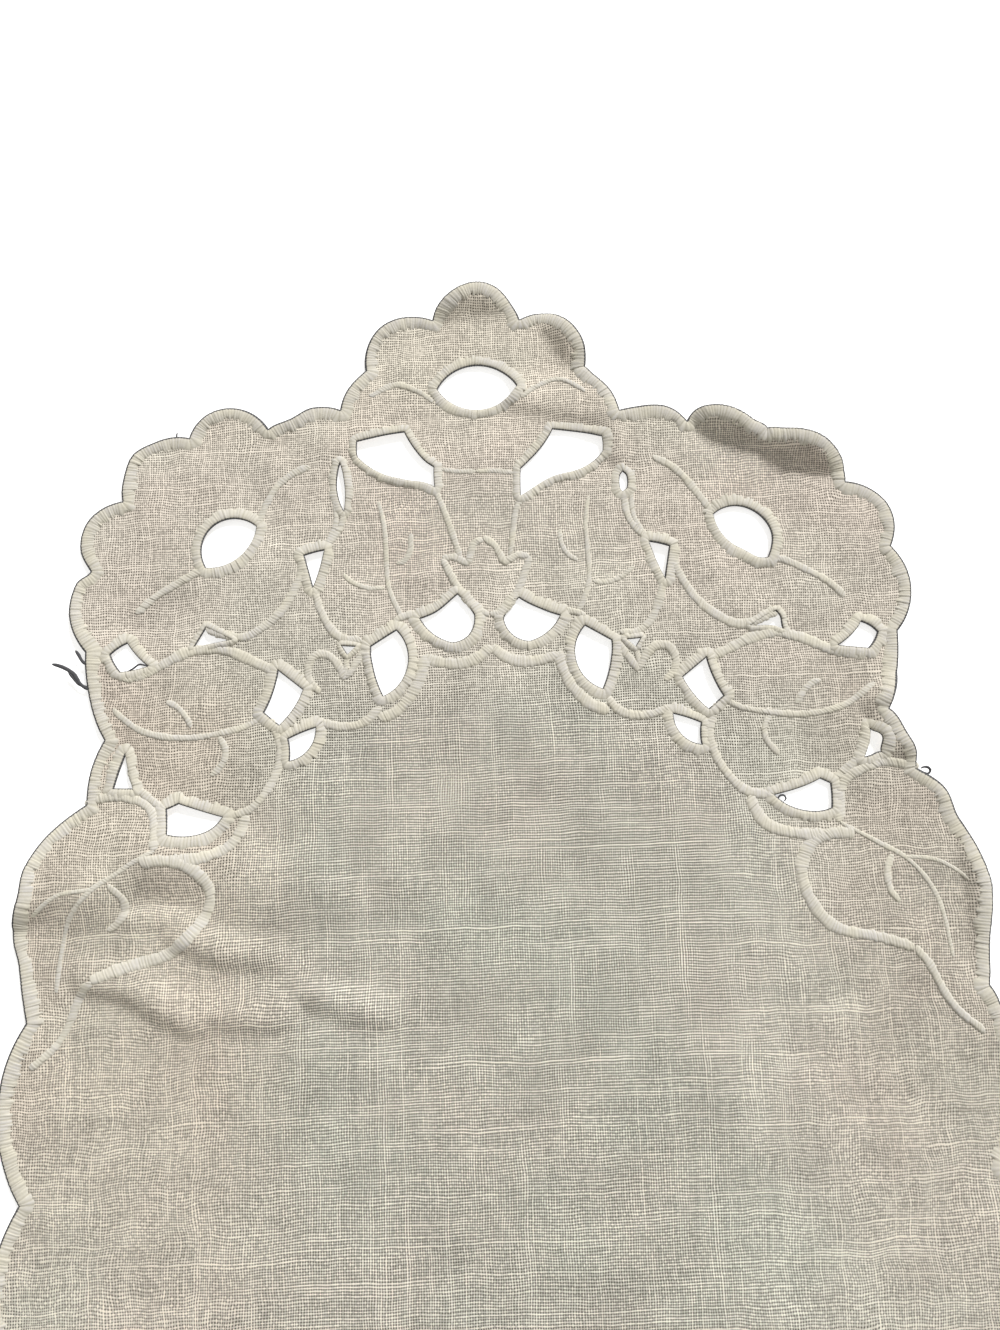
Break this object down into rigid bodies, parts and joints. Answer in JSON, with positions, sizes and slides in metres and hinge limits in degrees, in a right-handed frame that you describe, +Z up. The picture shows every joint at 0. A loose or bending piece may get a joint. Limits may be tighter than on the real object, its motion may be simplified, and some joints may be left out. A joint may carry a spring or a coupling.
{
  "type": "cutwork table runner",
  "caption": "Narrow linen table runner with a buttonholed scalloped edge and cutwork flowers, buds and leaves at both ends, lying flat with a few soft folds and curled edges.",
  "frame": {"origin": "under the middle of the cloth, on the surface that it lies on", "axes": "+X across the runner, +Y along it towards the end with the curled scallops, +Z up"},
  "size_m": [0.312, 0.8978, 0.0073],
  "materials": {
    "linen": "plain-weave linen with matt cotton embroidery, washed and slightly mottled"
  },
  "bodies": {
    "root": {"runner": "linen"}
  },
  "joints": []
}
